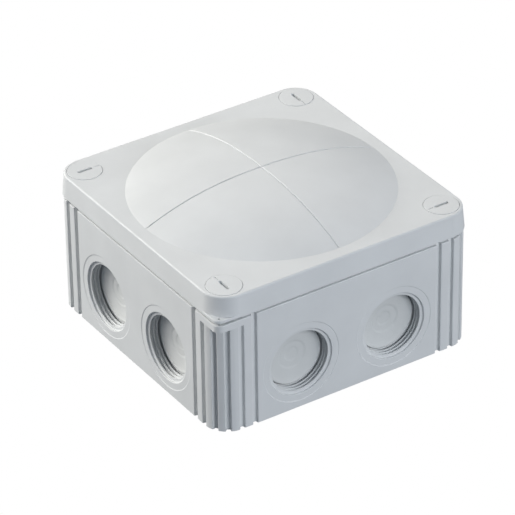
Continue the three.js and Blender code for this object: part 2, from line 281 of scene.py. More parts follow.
# ---- the skin builder


class Skin:
    """Patches of one closed surface, in millimetres."""

    def __init__(self):
        self.points = []
        self.faces = []

    def patch(self, points, faces):
        start = len(self.points)
        self.points += [tuple(p) for p in points]
        self.faces += [[start + i for i in face] for face in faces]

    def bands(self, loops, closed=True):
        """Quads between loops of equal length, each joined to the next."""
        count = len(loops[0])
        steps = count if closed else count - 1
        faces = []
        for row in range(len(loops) - 1):
            for i in range(steps):
                here, there = row * count + i, row * count + (i + 1) % count
                faces.append((here, there, there + count, here + count))
        self.patch([p for loop in loops for p in loop], faces)

    def fan(self, loop, centre):
        count = len(loop)
        self.patch([*loop, centre], [(i, (i + 1) % count, count) for i in range(count)])

    def flat(self, outer, holes=(), drop=2):
        """Triangles inside outer and outside the holes; drop is the axis that the plane faces."""
        keep = [axis for axis in range(3) if axis != drop]
        loops = [outer, *holes]
        points = [p for loop in loops for p in loop]
        plane = [Vector((p[keep[0]], p[keep[1]])) for p in points]
        edges = []
        start = 0
        for loop in loops:
            edges += [(start + i, start + (i + 1) % len(loop)) for i in range(len(loop))]
            start += len(loop)
        _, _, triangles, origins, _, _ = delaunay_2d_cdt(plane, edges, [], 0, 1e-6)
        outlines = [[(p[keep[0]], p[keep[1]]) for p in loop] for loop in loops]
        faces = []
        for triangle in triangles:
            if not all(origins[i] for i in triangle):
                raise ValueError(f"the outline near {outer[0]} crosses another")
            corners = [origins[i][0] for i in triangle]
            x = sum(plane[i].x for i in corners) / 3
            y = sum(plane[i].y for i in corners) / 3
            in_hole = any(inside(x, y, hole) for hole in outlines[1:])
            if inside(x, y, outlines[0]) and not in_hole:
                faces.append(corners)
        self.patch(points, faces)

    def piece(self, name, body, slot, material, replaces, sharp=20.0, ease=0.0):
        """Welds the patches into an object that rides on a body and stands for CAD nodes."""
        mesh = bpy.data.meshes.new(name)
        mesh.from_pydata(self.points, [], self.faces)
        shape = bmesh.new()
        shape.from_mesh(mesh)
        bmesh.ops.remove_doubles(shape, verts=shape.verts, dist=1e-3)
        bmesh.ops.dissolve_degenerate(shape, edges=shape.edges, dist=1e-4)
        bmesh.ops.recalc_face_normals(shape, faces=shape.faces)
        if ease:
            flat = math.radians(0.5)
            bmesh.ops.dissolve_limit(shape, angle_limit=flat, verts=shape.verts, edges=shape.edges)
        bmesh.ops.scale(shape, vec=(MM, MM, MM), verts=shape.verts)
        shape.to_mesh(mesh)
        shape.free()
        for polygon in mesh.polygons:
            polygon.use_smooth = True
        mesh.materials.append(material)
        piece = bpy.data.objects.new(name, mesh)
        bpy.context.scene.collection.objects.link(piece)
        if ease:
            bevel = piece.modifiers.new("eased edges", "BEVEL")
            bevel.width = ease * MM
            bevel.segments = 2
            bevel.limit_method = "ANGLE"
            bevel.angle_limit = math.radians(30)
        else:
            mesh.set_sharp_from_angle(angle=math.radians(sharp))
        normals = piece.modifiers.new("flat faces stay flat", "WEIGHTED_NORMAL")
        normals.keep_sharp = True
        normals.weight = 80
        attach(piece, body)
        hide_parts(*replaces)
        return piece


def inside(x, y, outline):
    """Whether a point of a plane is inside an outline, by counting crossings."""
    odd = False
    x1, y1 = outline[-1]
    for x2, y2 in outline:
        if (y1 > y) != (y2 > y) and x < (x2 - x1) * (y - y1) / (y2 - y1) + x1:
            odd = not odd
        x1, y1 = x2, y2
    return odd


# ---- outlines


def turn(point, quarter):
    """A point of two or three coordinates, turned about Z by quarters."""
    x, y, *rest = point
    for _ in range(quarter % 4):
        x, y = -y, x
    return (x, y, *rest)


def turned(points, quarter):
    return [turn(p, quarter) for p in points]


def fourfold(corner):
    return [turn(p, k) for k in QUARTERS for p in corner]


def at(points, z):
    return [(p[0], p[1], z) for p in points]


def arc(x, y, radius, start, end, steps):
    """Points along an arc, with its angles in degrees."""
    angles = [math.radians(start + (end - start) * i / steps) for i in range(steps + 1)]
    return [(x + radius * math.cos(a), y + radius * math.sin(a)) for a in angles]


def circle(x, y, radius, count):
    return arc(x, y, radius, 0, 360, count)[:-1]


def rectangle(half_width, low, high):
    return [(-half_width, low), (half_width, low), (half_width, high), (-half_width, high)]


def rounded_corner(half, radius, steps=16):
    return arc(half - radius, half - radius, radius, 0, 90, steps)


def fillet(radius, steps, start=0.0, end=90.0):
    """(inwards, upwards) steps along a rounded edge from a wall to the face above it."""
    angles = [math.radians(start + (end - start) * i / steps) for i in range(steps + 1)]
    return [(radius * (1 - math.cos(a)), radius * math.sin(a)) for a in angles]


def seal_corner(offset, steps=20):
    """One hollow corner of the sealing line, moved outwards by the offset."""
    half = SEAL_HALF + offset
    bend = SEAL_BEND - offset
    rise = half - SCREW
    run = math.sqrt(bend * bend - rise * rise)
    start = math.degrees(math.atan2(-run, rise))
    end = math.degrees(math.atan2(rise, -run)) - 360
    return arc(SCREW, SCREW, bend, start, end, steps)


def seal_loop(offset, z):
    return at(fourfold(seal_corner(offset)), z)


def corner_rings(place, profile, count=32):
    """For each (radius, height) of a profile, four rings: one in each corner, at that place."""
    front_left = [at(circle(-place, -place, radius, count), z) for radius, z in profile]
    return [[turned(ring, k) for k in QUARTERS] for ring in front_left]


# ---- the flutes


def envelope(distance, depth):
    """A point of a corner's round envelope, by its distance from the diagonal and its depth."""
    centre = BASE_HALF - CORNER_RADIUS
    reach = CORNER_RADIUS * math.pi / 4
    along = max(-reach, min(reach, distance))
    angle = math.pi / 4 + along / CORNER_RADIUS
    straight = distance - along
    radius = CORNER_RADIUS - depth
    return (
        centre + radius * math.cos(angle) - max(straight, 0),
        centre + radius * math.sin(angle) + min(straight, 0),
    )


def groove_steps():
    """(distance from a groove's middle, share of its depth) across one rounded groove."""
    side = [(inwards - GROOVE_WIDTH / 2, share) for inwards, share in GROOVE_SIDE]
    return side + [(-distance, share) for distance, share in reversed(side)]


def flute_steps():
    """(distance, depth) along one fluted corner, from its first groove to its last."""
    middles = [GROOVE_START + i * GROOVE_PITCH for i in range(GROOVES)]
    middles = [-m for m in reversed(middles)] + middles
    steps = []
    for i, middle in enumerate(middles):
        steps += [(middle + d, share * GROOVE_DEPTH) for d, share in groove_steps()]
        if i < len(middles) - 1:
            gap = middles[i + 1] - middle
            steps += [(middle + gap * share, 0) for share in LAND_SHARES]
    return steps


FLUTES = flute_steps()
PANEL_EDGE = envelope(FLUTES[0][0], 0)[1]
LAND = len(groove_steps()) + 1  # the middle of the land beside the outermost groove


def flute_corner(inset):
    return [envelope(distance, depth + inset) for distance, depth in FLUTES]


def bracket_corner(inset):
    """A bracket's square corner, with the flutes' points on its straight parts."""
    reach = CORNER_RADIUS * math.pi / 4
    side = [envelope(distance, inset) for distance, _ in FLUTES[LAND:] if distance < -reach]
    centre = BASE_HALF - BRACKET_RADIUS
    bend = arc(centre, centre, BRACKET_RADIUS - inset, 0, 90, 8)
    return side + bend + [(y, x) for x, y in reversed(side)]


def corner_top(k, inset):
    """One corner's outline above the brackets' undersides."""
    flutes = flute_corner(inset)
    if k not in BRACKETS:
        return flutes
    return flutes[:LAND] + bracket_corner(inset) + flutes[-LAND:]


def wire_eye(k, z):
    return at(turned(circle(WIRE_EYE, WIRE_EYE, WIRE_EYE_RADIUS, 12), k), z)


# ---- the base


def on_front(u, depth, z):
    """A point of the front side, by its place along the panel and its depth behind it."""
    return (u, -BASE_HALF + depth, z)


def entry_ring(offset, radius, depth, count=96):
    return [on_front(u, depth, z) for u, z in circle(offset, ENTRY_HEIGHT, radius, count)]


def smooth(x):
    x = max(0.0, min(1.0, x))
    return x * x * (3 - 2 * x)


def entry_socket(offset):
    """The rings of one threaded entry, from the panel's plane through to the cavity wall."""
    profile = [(SEAT_RADIUS + 0.22, 0), (SEAT_RADIUS + 0.12, 0.03)]
    profile += [(SEAT_RADIUS - 0.08, SEAT_DEPTH - 0.03), (SEAT_RADIUS - 0.18, SEAT_DEPTH)]
    profile += [(radius, SEAT_DEPTH + depth) for radius, depth in MOUTH]
    for number in range(THREAD_TURNS):
        root = THREAD_ROOT + number * THREAD_PITCH
        crest = root + THREAD_PITCH / 2
        profile += [(THREAD_MAJOR, root - THREAD_ROOT_HALF), (THREAD_MAJOR, root + THREAD_ROOT_HALF)]
        profile += [(THREAD_MINOR, crest - THREAD_CREST_HALF), (THREAD_MINOR, crest + THREAD_CREST_HALF)]
    root = THREAD_ROOT + THREAD_TURNS * THREAD_PITCH
    profile += [(UNDERCUT, root - 0.1), (UNDERCUT, root + 0.2)]
    profile += [(SLEEVE, root + 0.5), (SLEEVE, SOCKET_DEPTH - 0.2), (SLEEVE + 0.2, SOCKET_DEPTH)]
    profile += [(SOCKET_RADIUS - 0.5, SOCKET_DEPTH), (SOCKET_RADIUS - 0.15, SOCKET_DEPTH - 0.12)]
    profile += [(SOCKET_RADIUS, SOCKET_DEPTH - 0.5), (SOCKET_RADIUS, WALL_DEPTH + 0.6)]
    profile += [(SOCKET_RADIUS + 0.18, WALL_DEPTH + 0.18), (SOCKET_RADIUS + 0.6, WALL_DEPTH)]
    return [entry_ring(offset, radius, depth) for radius, depth in profile]


def base_side(skin, k):
    """One side's panel, sockets and inner wall."""
    sockets = [entry_socket(side * ENTRY_OFFSET) for side in (-1, 1)]
    for loops in sockets:
        skin.bands([turned(loop, k) for loop in loops])
    heights = (PAD + FOOT_EASE, BRACKET_BOTTOM, RIM_TOP - RIM_EASE)
    outline = [on_front(PANEL_EDGE, 0, z) for z in heights]
    outline += [on_front(-PANEL_EDGE, 0, z) for z in reversed(heights)]
    flat_turned(skin, outline, [loops[0] for loops in sockets], k)
    edge = [[on_front(u, inset, z) for u in (-PANEL_EDGE, PANEL_EDGE)] for inset, z in RIM_STEPS]
    skin.bands([turned(row, k) for row in edge], closed=False)
    reach = seal_corner(WALL_OFFSET)[-1][0]
    inner = [on_front(u, WALL_DEPTH, z) for u, z in rectangle(reach, WALL_BOTTOM, WALL_TOP)]
    flat_turned(skin, inner, [loops[-1] for loops in sockets], k)


def flat_turned(skin, outline, holes, k, drop=1):
    """A flat patch of the front side, made there and turned to side k."""
    part = Skin()
    part.flat(outline, holes, drop)
    skin.patch(turned(part.points, k), part.faces)


def base_corner(skin, k):
    """One fluted corner, with or without a bracket over its middle flutes."""
    flutes = turned(flute_corner(0), k)
    skin.bands([at(flutes, PAD + FOOT_EASE), at(flutes, BRACKET_BOTTOM)], closed=False)
    loops = [at(turned(corner_top(k, 0), k), BRACKET_BOTTOM)]
    loops += [at(turned(corner_top(k, inset), k), z) for inset, z in RIM_STEPS]
    skin.bands(loops, closed=False)
    if k in BRACKETS:
        under = turned(bracket_corner(0), k) + flutes[LAND:-LAND][::-1]
        skin.flat(at(under, BRACKET_BOTTOM), [wire_eye(k, BRACKET_BOTTOM)])
        skin.bands([wire_eye(k, BRACKET_BOTTOM), wire_eye(k, RIM_TOP)])


def base_shell():
    skin = Skin()
    for k in QUARTERS:
        base_side(skin, k)
        base_corner(skin, k)
    steps = ((0, PAD + FOOT_EASE), (0.3 * FOOT_EASE, PAD + 0.3 * FOOT_EASE), (FOOT_EASE, PAD))
    ring = [at(fourfold(flute_corner(inset)), z) for inset, z in steps]
    skin.bands(ring)
    collars = underside(skin, ring[-1])
    rim(skin)
    cavity(skin, collars)
    return skin.piece("base_moulding", "base", "housing", HOUSING, ["base_shell"])


def underside(skin, outline):
    """The wall side: a flat floor with four pads, and closed screw holes with collars inside."""
    pad = [(PAD_RADIUS + 0.5, PAD), (PAD_RADIUS + 0.15, PAD - 0.15), (PAD_RADIUS, PAD - 0.5)]
    pad += [(PAD_RADIUS, 0.15), (PAD_RADIUS - 0.15, 0), (FIXING_HOLE + 0.4, 0)]
    pad += [(FIXING_HOLE, 0.4), (FIXING_HOLE, KNOCKOUT_BOTTOM)]
    collar = [(FIXING_HOLE, KNOCKOUT_TOP), (FIXING_HOLE, COLLAR_TOP - 0.8)]
    collar += [(FIXING_HOLE + 0.8, COLLAR_TOP), (COLLAR_RADIUS - 0.25, COLLAR_TOP)]
    collar += [(COLLAR_RADIUS, COLLAR_TOP - 0.25), (COLLAR_RADIUS, FLOOR_TOP + 0.5)]
    collar.append((COLLAR_RADIUS + 0.5, FLOOR_TOP))
    pads, collars = corner_rings(FIXING, pad), corner_rings(FIXING, collar)
    for k in QUARTERS:
        skin.bands([ring[k] for ring in pads])
        skin.fan(pads[-1][k], turn((-FIXING, -FIXING, KNOCKOUT_BOTTOM), k))
        skin.bands([ring[k] for ring in collars])
        skin.fan(collars[0][k], turn((-FIXING, -FIXING, KNOCKOUT_TOP - 0.1), k))
    skin.flat(outline, pads[0])
    return collars[-1]


def rim(skin):
    """The top face of the wall: a narrow ledge, then a lip round the wells and the tongue."""
    profile = [(WELL_RADIUS + 0.2, LIP_TOP), (WELL_RADIUS, LIP_TOP - 0.2)]
    profile += [(WELL_RADIUS, WELL_BOTTOM + 0.4), (WELL_RADIUS - 0.4, WELL_BOTTOM)]
    wells = corner_rings(SCREW, profile)
    for k in QUARTERS:
        skin.bands([ring[k] for ring in wells])
        skin.fan(wells[-1][k], turn((-SCREW, -SCREW, WELL_BOTTOM), k))
    lip = []
    for inset, z in ((0, RIM_TOP), (0, LIP_TOP - LIP_EASE), (LIP_EASE, LIP_TOP)):
        corner = [envelope(distance, LIP_INSET + inset + LIP_FOLLOW * depth) for distance, depth in FLUTES]
        lip.append(at(fourfold(corner), z))
    skin.bands(lip)
    outline = [p for k in QUARTERS for p in at(turned(corner_top(k, RIM_EASE), k), RIM_TOP)]
    skin.flat(outline, [lip[0], *(wire_eye(k, RIM_TOP) for k in BRACKETS)])
    skin.flat(lip[-1], [seal_loop(TONGUE + LIP_FILLET, LIP_TOP), *wells[0]])


def cavity(skin, collars):
    """The sealing tongue and the inside of the base down to its floor."""
    crest = [(TONGUE - inwards, TONGUE_TOP - down) for inwards, down in TONGUE_EDGE]
    profile = [(TONGUE + LIP_FILLET, LIP_TOP), (TONGUE, LIP_TOP + LIP_FILLET), *crest]
    profile += [(-offset, z) for offset, z in reversed(crest)]
    profile += [(-TONGUE, TONGUE_FOOT), (WALL_OFFSET, WALL_TOP)]
    skin.bands([seal_loop(offset, z) for offset, z in profile])
    for k in QUARTERS:
        corner = turned(seal_corner(WALL_OFFSET), k)
        skin.bands([at(corner, WALL_BOTTOM), at(corner, WALL_TOP)], closed=False)
    foot = [(WALL_OFFSET, WALL_BOTTOM), (WALL_OFFSET - 0.18, FLOOR_TOP + 0.18)]
    foot.append((WALL_OFFSET - FLOOR_FILLET, FLOOR_TOP))
    skin.bands([seal_loop(offset, z) for offset, z in foot])
    skin.flat(seal_loop(foot[-1][0], FLOOR_TOP), [*bosses(skin), *collars])


def bosses(skin):
    """The two bosses under the terminal, and the rings where they meet the floor."""
    profile = [(BOSS_RADIUS + 0.8, FLOOR_TOP), (BOSS_RADIUS + 0.2, FLOOR_TOP + 0.2)]
    profile += [(BOSS_RADIUS, FLOOR_TOP + 0.8), (BOSS_RADIUS, BOSS_TOP - 0.25)]
    profile += [(BOSS_RADIUS - 0.25, BOSS_TOP), (BOSS_HOLE + 0.25, BOSS_TOP)]
    profile += [(BOSS_HOLE, BOSS_TOP - 0.25), (BOSS_HOLE, BOSS_HOLE_BOTTOM)]
    feet = []
    for side in (-1, 1):
        x = side * (fixing_low.x + fixing_high.x) / 2
        rings = [at(circle(x, 0, radius, 32), z) for radius, z in profile]
        skin.bands(rings)
        skin.fan(rings[-1], (x, 0, BOSS_HOLE_BOTTOM - 0.3))
        feet.append(rings[0])
    return feet


# ---- the lid


def lid_half(z):
    """Half of the lid's width at a height: its skirt leans inwards a little."""
    return LID_HALF - LID_DRAFT * (z - LID_BOTTOM) / (LID_TOP - LID_BOTTOM)


def foot_corner(k, z, inset):
    """One corner of the lid's foot, a square one with the skirt's tangent points for a bracket."""
    half = lid_half(z)
    if k not in BRACKETS:
        return rounded_corner(half - inset, LID_RADIUS - inset, 24)
    tangent = half - LID_RADIUS
    bend = arc(half - BRACKET_RADIUS, half - BRACKET_RADIUS, BRACKET_RADIUS - inset, 0, 90, 8)
    return [(half - inset, tangent), *bend, (tangent, half - inset)]


def foot_loop(z, inset):
    return [p for k in QUARTERS for p in at(turned(foot_corner(k, z, inset), k), z)]


def dome_height(radius):
    share = min(1.0, radius / DOME_RADIUS)
    return LID_TOP + (DOME_TOP - LID_TOP) * (1 - share**DOME_FULLNESS)


def dome_skin(skin):
    """Four quarters of the dome round two fine grooves that cross at its top."""
    groove = DOME_GROOVE
    # The rings lie closer together near the grooves and near the dome's edge.
    shares = [smooth(i / DOME_STEPS) * 0.35 + 0.65 * i / DOME_STEPS for i in range(DOME_STEPS + 1)]
    rays = []
    start = math.degrees(math.asin(groove / DOME_RADIUS))
    for x, y in arc(0, 0, DOME_RADIUS, start, 90 - start, 32):
        ray = [(groove + (x - groove) * s, groove + (y - groove) * s) for s in shares]
        rays.append([(px, py, dome_height(math.hypot(px, py))) for px, py in ray])
    for k in QUARTERS:
        skin.bands([turned(ray, k) for ray in rays], closed=False)
    arm = groove_arm(shares)
    edge = []
    for k in QUARTERS:
        skin.bands([turned(row, k) for row in arm], closed=False)
        edge += turned([row[-1] for row in arm], k)[:-1]
        edge += turned([ray[-1] for ray in rays], k)[:-1]
    middle = []
    for a, depth_a in DOME_GROOVE_STEPS:
        depths = [max(depth_a, depth_b) * DOME_GROOVE_DEPTH for _, depth_b in DOME_GROOVE_STEPS]
        places = [(a * groove, b * groove) for b, _ in DOME_GROOVE_STEPS]
        middle.append([(x, y, dome_height(0) - depth) for (x, y), depth in zip(places, depths)])
    skin.bands(middle, closed=False)
    return edge


def groove_arm(shares):
    """The groove along +X, as rows from the middle of the dome to its edge."""
    reach = math.sqrt(DOME_RADIUS**2 - DOME_GROOVE**2)
    along = [DOME_GROOVE + (reach - DOME_GROOVE) * s for s in shares]
    rows = []
    for side, depth in DOME_GROOVE_STEPS:
        y = side * DOME_GROOVE
        end = math.sqrt(DOME_RADIUS**2 - y**2)
        row = []
        for x in along[:-1] + [end]:
            fade = smooth((end - x) / DOME_GROOVE_FADE)
            row.append((x, y, dome_height(math.hypot(x, y)) - depth * fade * DOME_GROOVE_DEPTH))
        rows.append(row)
    return rows


def lid_cover():
    skin = Skin()
    edge = dome_skin(skin)
    # Skirt: a drafted wall, rounded over into the flat top.
    crease = LID_TOP - LID_FILLET
    walls = [at(fourfold(rounded_corner(lid_half(z), LID_RADIUS, 24)), z) for z in (FLANGE_TOP, crease)]
    top_half = lid_half(crease)
    for inwards, upwards in fillet(LID_FILLET, 8)[1:] + [(LID_FILLET + 0.08, LID_FILLET)]:
        outline = fourfold(rounded_corner(top_half - inwards, LID_RADIUS - inwards, 24))
        walls.append(at(outline, crease + upwards))
    skin.bands(walls)
    wells = [(HEAD_RADIUS + HEAD_CLEARANCE + r, z) for r, z in ((0.08, LID_TOP), (0.02, LID_TOP - 0.04))]
    wells += [(HEAD_RADIUS + HEAD_CLEARANCE, z) for z in (LID_TOP - 0.12, LID_TOP - HEAD_SEAT)]
    wells += [(SHANK_RADIUS + 0.3, LID_TOP - HEAD_SEAT), (SHANK_RADIUS + 0.3, LID_BOTTOM + 0.3)]
    wells.append((SHANK_RADIUS + 0.6, LID_BOTTOM))
    rings = corner_rings(SCREW, wells, 48)
    for k in QUARTERS:
        skin.bands([ring[k] for ring in rings])
    skin.flat(walls[-1], [edge, *rings[0]])
    lid_foot(skin, rings[-1])
    return skin.piece("lid_moulding", "lid", "housing", HOUSING, ["lid"], sharp=17.0)


def lid_foot(skin, bores):
    """The lid's lower edge with its two brackets, the seal's groove and the hollow above."""
    top = []
    for k in QUARTERS:
        corner = foot_corner(k, FLANGE_TOP, 0)
        if k in BRACKETS:
            corner[1:-1] = foot_corner(k, FLANGE_TOP, 0.2)[1:-1]
            skirt = rounded_corner(lid_half(FLANGE_TOP), LID_RADIUS, 24)
            outline = turned(corner + skirt[::-1], k)
            skin.flat(at(outline, FLANGE_TOP), [wire_eye(k, FLANGE_TOP)])
            skin.bands([wire_eye(k, FLANGE_TOP), wire_eye(k, LID_BOTTOM)])
        top += at(turned(corner, k), FLANGE_TOP)
    steps = ((FLANGE_TOP - 0.2, 0), (LID_BOTTOM + 0.2, 0), (LID_BOTTOM + 0.06, 0.06), (LID_BOTTOM, 0.2))
    loops = [top] + [foot_loop(z, inset) for z, inset in steps]
    skin.bands(loops)
    profile = [(SEAL_GROOVE_OUTER + 0.3, LID_BOTTOM), (SEAL_GROOVE_OUTER, LID_BOTTOM + 0.4)]
    profile += [(SEAL_GROOVE_OUTER, LID_CEILING), (RIB_OUTER, LID_CEILING)]
    profile += [(RIB_OUTER, RIB_BOTTOM + 0.2), (RIB_OUTER - 0.2, RIB_BOTTOM)]
    profile += [(RIB_INNER + 0.2, RIB_BOTTOM), (RIB_INNER, RIB_BOTTOM + 0.2)]
    profile += [(RIB_INNER, LID_CEILING - 0.5), (RIB_INNER - 0.5, LID_CEILING)]
    rings = [seal_loop(offset, z) for offset, z in profile]
    skin.bands(rings)
    skin.flat(loops[-1], [rings[0], *bores, *(wire_eye(k, LID_BOTTOM) for k in BRACKETS)])
    skin.flat(rings[-1], [lid_hollow(skin)])


def lid_hollow(skin):
    """The hollow under the dome, and the ring where it meets the lid's flat underside."""
    rise = DOME_TOP - LID_TOP
    loops = []
    for i in range(HOLLOW_STEPS):
        share = 1 - i / HOLLOW_STEPS
        height = LID_CEILING + rise * (1 - share**DOME_FULLNESS)
        loops.append(at(circle(0, 0, HOLLOW_RADIUS * share, 96), height))
    skin.bands(loops)
    skin.fan(loops[-1], (0, 0, LID_CEILING + rise))
    return loops[0]


# ---- small pieces


def membrane_profile():
    """(radius, depth behind the panel) over a membrane, from its front middle to its back."""
    flange, rear = MEMBRANE_FLANGE, SOCKET_DEPTH
    profile = [(radius, MEMBRANE_FRONT + depth) for radius, depth in MEMBRANE_FACE]
    profile += [(MEMBRANE_PLUG, rear + 0.1), (MEMBRANE_PLUG + 0.2, rear + 0.3)]
    profile += [(flange - 0.2, rear + 0.3), (flange, rear + 0.5), (flange, rear + 1.3)]
    profile += [(flange - 0.2, rear + 1.5), (MEMBRANE_BORE, rear + 1.5), (MEMBRANE_BORE - 0.4, rear + 1.2)]
    return profile + [(radius, MEMBRANE_FRONT + depth) for radius, depth in MEMBRANE_BACK]


def membranes():
    names = (
        ("front_left", "front_right"),
        ("right_front", "right_back"),
        ("back_right", "back_left"),
        ("left_back", "left_front"),
    )
    profile = membrane_profile()
    for k in QUARTERS:
        for side, place in zip((-1, 1), names[k]):
            skin = Skin()
            offset = side * ENTRY_OFFSET
            loops = [turned(entry_ring(offset, radius, depth, 64), k) for radius, depth in profile]
            skin.bands(loops)
            for end in (0, -1):
                depth = profile[end][1]
                skin.fan(loops[end], turn(on_front(offset, depth, ENTRY_HEIGHT), k))
            node = f"entry_membrane_{place}"
            skin.piece(f"membrane_{place}", "base", "membrane", MEMBRANE, [node], sharp=40.0)


def screw_top():
    """The front left screw without its lugs, with a slot and a pointer line in its head."""
    skin = Skin()
    top = LID_TOP + HEAD_PROUD
    edge = [(HEAD_RADIUS - r, top - z) for r, z in ((0.24, 0), (0.07, 0.07), (0, 0.24))]
    edge += [(HEAD_RADIUS, HEAD_BOTTOM + 0.2), (HEAD_RADIUS - 0.2, HEAD_BOTTOM)]
    rings = [at(circle(0, 0, radius, 64), z) for radius, z in edge]
    skin.bands(rings)
    slot = at(slot_outline(SLOT_HALF_WIDTH, SLOT_HALF_LENGTH), top)
    mark = at(rectangle(MARK_HALF_WIDTH, MARK_START, MARK_END), top)
    skin.flat(rings[0], [slot, mark])
    sunk(skin, slot, SLOT_DEPTH)
    sunk(skin, mark, MARK_DEPTH)
    neck = SHANK_BOTTOM + NECK_HEIGHT
    shank = [(SHANK_RADIUS, HEAD_BOTTOM), (SHANK_RADIUS, neck + 0.6), (NECK_RADIUS, neck)]
    shank += [(NECK_RADIUS, SHANK_BOTTOM + 0.4), (NECK_RADIUS - 0.4, SHANK_BOTTOM)]
    stem = [at(circle(0, 0, radius, 64), z) for radius, z in shank]
    skin.bands([rings[-1], stem[0]])
    skin.bands(stem)
    skin.fan(stem[-1], (0, 0, SHANK_BOTTOM))
    return skin


def slot_outline(half_width, half_length):
    """A screwdriver slot with rounded ends."""
    centre = half_length - half_width
    end = arc(0, centre, half_width, 0, 180, 8)
    return end + [(-x, -y) for x, y in end]


def sunk(skin, outline, depth):
    """A flat-bottomed recess under an outline of the lid's top."""
    floor = [(x, y, z - depth) for x, y, z in outline]
    skin.bands([outline, floor])
    skin.flat(floor)


def lug(skin, side):
    """One of the two locking lugs at the foot of a lid screw."""
    end = arc(0, 0, LUG_REACH, -LUG_ANGLE, LUG_ANGLE, 8)
    outline = [(LUG_ROOT, -LUG_HALF), *end, (LUG_ROOT, LUG_HALF)]
    outline = [(side * x, side * y) for x, y in outline]
    low = SHANK_BOTTOM + 0.2
    high = low + LUG_HEIGHT
    small = [(x * 0.94, y * 0.9) for x, y in outline]
    loops = [at(small, low), at(outline, low + 0.4), at(outline, high - 0.4), at(small, high)]
    skin.bands(loops)
    skin.flat(loops[0])
    skin.flat(loops[-1])


def lid_screws():
    for k, place in enumerate(CORNERS):
        skin = screw_top()
        for side in (-1, 1):
            lug(skin, side)
        skin.points = [turn((x - SCREW, y - SCREW, z), k) for x, y, z in skin.points]
        name = f"lid_screw_{place}"
        skin.piece(f"quarter_turn_{place}", name, "screw", SCREW_PLASTIC, [name], sharp=25.0)


def lid_seal():
    """The gasket in the lid's groove, with a section between a square and a circle."""
    skin = Skin()
    low, high = box_mm("lid_seal")
    inner, outer = -TONGUE - 0.6, TONGUE + 0.1
    roundness = 0.45
    profile = []
    for angle in range(0, 360, 30):
        cosine, sine = math.cos(math.radians(angle)), math.sin(math.radians(angle))
        wide = math.copysign(abs(cosine) ** roundness, cosine)
        tall = math.copysign(abs(sine) ** roundness, sine)
        offset = (inner + outer) / 2 + (outer - inner) / 2 * wide
        profile.append((offset, (low.z + high.z) / 2 + (high.z - low.z) / 2 * tall))
    loops = [seal_loop(offset, z) for offset, z in profile]
    skin.bands([*loops, loops[0]])
    skin.piece("sealing_gasket", "lid", "seal", SEAL, ["lid_seal"], sharp=40.0)


# ---- the terminal


def rounded_box(low, high, radius, steps=4):
    """A rectangle with rounded corners, from its upper right round to its lower right."""
    (x1, y1), (x2, y2) = low, high
    points = []
    for x, y, start in ((x2, y2, 0), (x1, y2, 90), (x1, y1, 180), (x2, y1, 270)):
        x += radius if x == x1 else -radius
        y += radius if y == y1 else -radius
        points += arc(x, y, radius, start, start + 90, steps)
    return points


def channel(skin, x, half_length, outline, wells, top):
    """A tunnel along Y of an (x, z) outline, with round wells through its ceiling up to a height.

    The outline starts with the right end of its ceiling, as one from rounded_box does.
    """
    ends = [[(x + u, y, z) for u, z in outline] for y in (-half_length, half_length)]
    first = len(outline) // 4
    skin.bands([end[first:] + end[:first] for end in ends], closed=False)
    (right, ceiling), (left, _) = outline[first - 1], outline[first]
    corners = [(x + u, y, ceiling) for u, y in ((left, -half_length), (right, -half_length))]
    corners += [(x + u, y, ceiling) for u, y in ((right, half_length), (left, half_length))]
    mouths = []
    feet = []
    for y, radius in wells:
        ring = circle(x, y, radius, 24)
        mouths.append(at(ring, top))
        feet.append(at(ring, ceiling))
        skin.bands([mouths[-1], feet[-1]])
    skin.flat(corners, feet)
    return ends, mouths


def block(skin, x, half_width, half_length, low, high, bevel, outline, wells):
    """A bar along Y with bevelled top edges round a channel and its wells."""
    ends, mouths = channel(skin, x, half_length, outline, wells, high)
    shoulder = high - bevel
    crown = half_length - bevel
    for side, end in zip((-1, 1), ends):
        y = side * half_length
        skin.flat([(x + u, y, z) for u, z in rectangle(half_width, low, shoulder)], [end], drop=1)
        if bevel:
            edges = [[(x + u, y, shoulder), (x + u, side * crown, high)] for u in (-half_width, half_width)]
            skin.bands(edges, closed=False)
    skin.flat([(x + u, y, high) for u, y in rectangle(half_width, -crown, crown)], mouths)
    skin.flat([(x + u, y, low) for u, y in rectangle(half_width, -half_length, half_length)])
    wall = [(-half_length, low), (half_length, low), (half_length, shoulder)]
    if bevel:
        wall += [(crown, high), (-crown, high)]
    wall.append((-half_length, shoulder))
    for u in (-half_width, half_width):
        skin.flat([(x + u, y, z) for y, z in wall], drop=0)


def slab(skin, outline, low, high, holes=()):
    """A flat plate of an outline, with holes right through it."""
    for loop in (outline, *holes):
        skin.bands([at(loop, low), at(loop, high)])
    for z in (low, high):
        skin.flat(at(outline, z), [at(hole, z) for hole in holes])


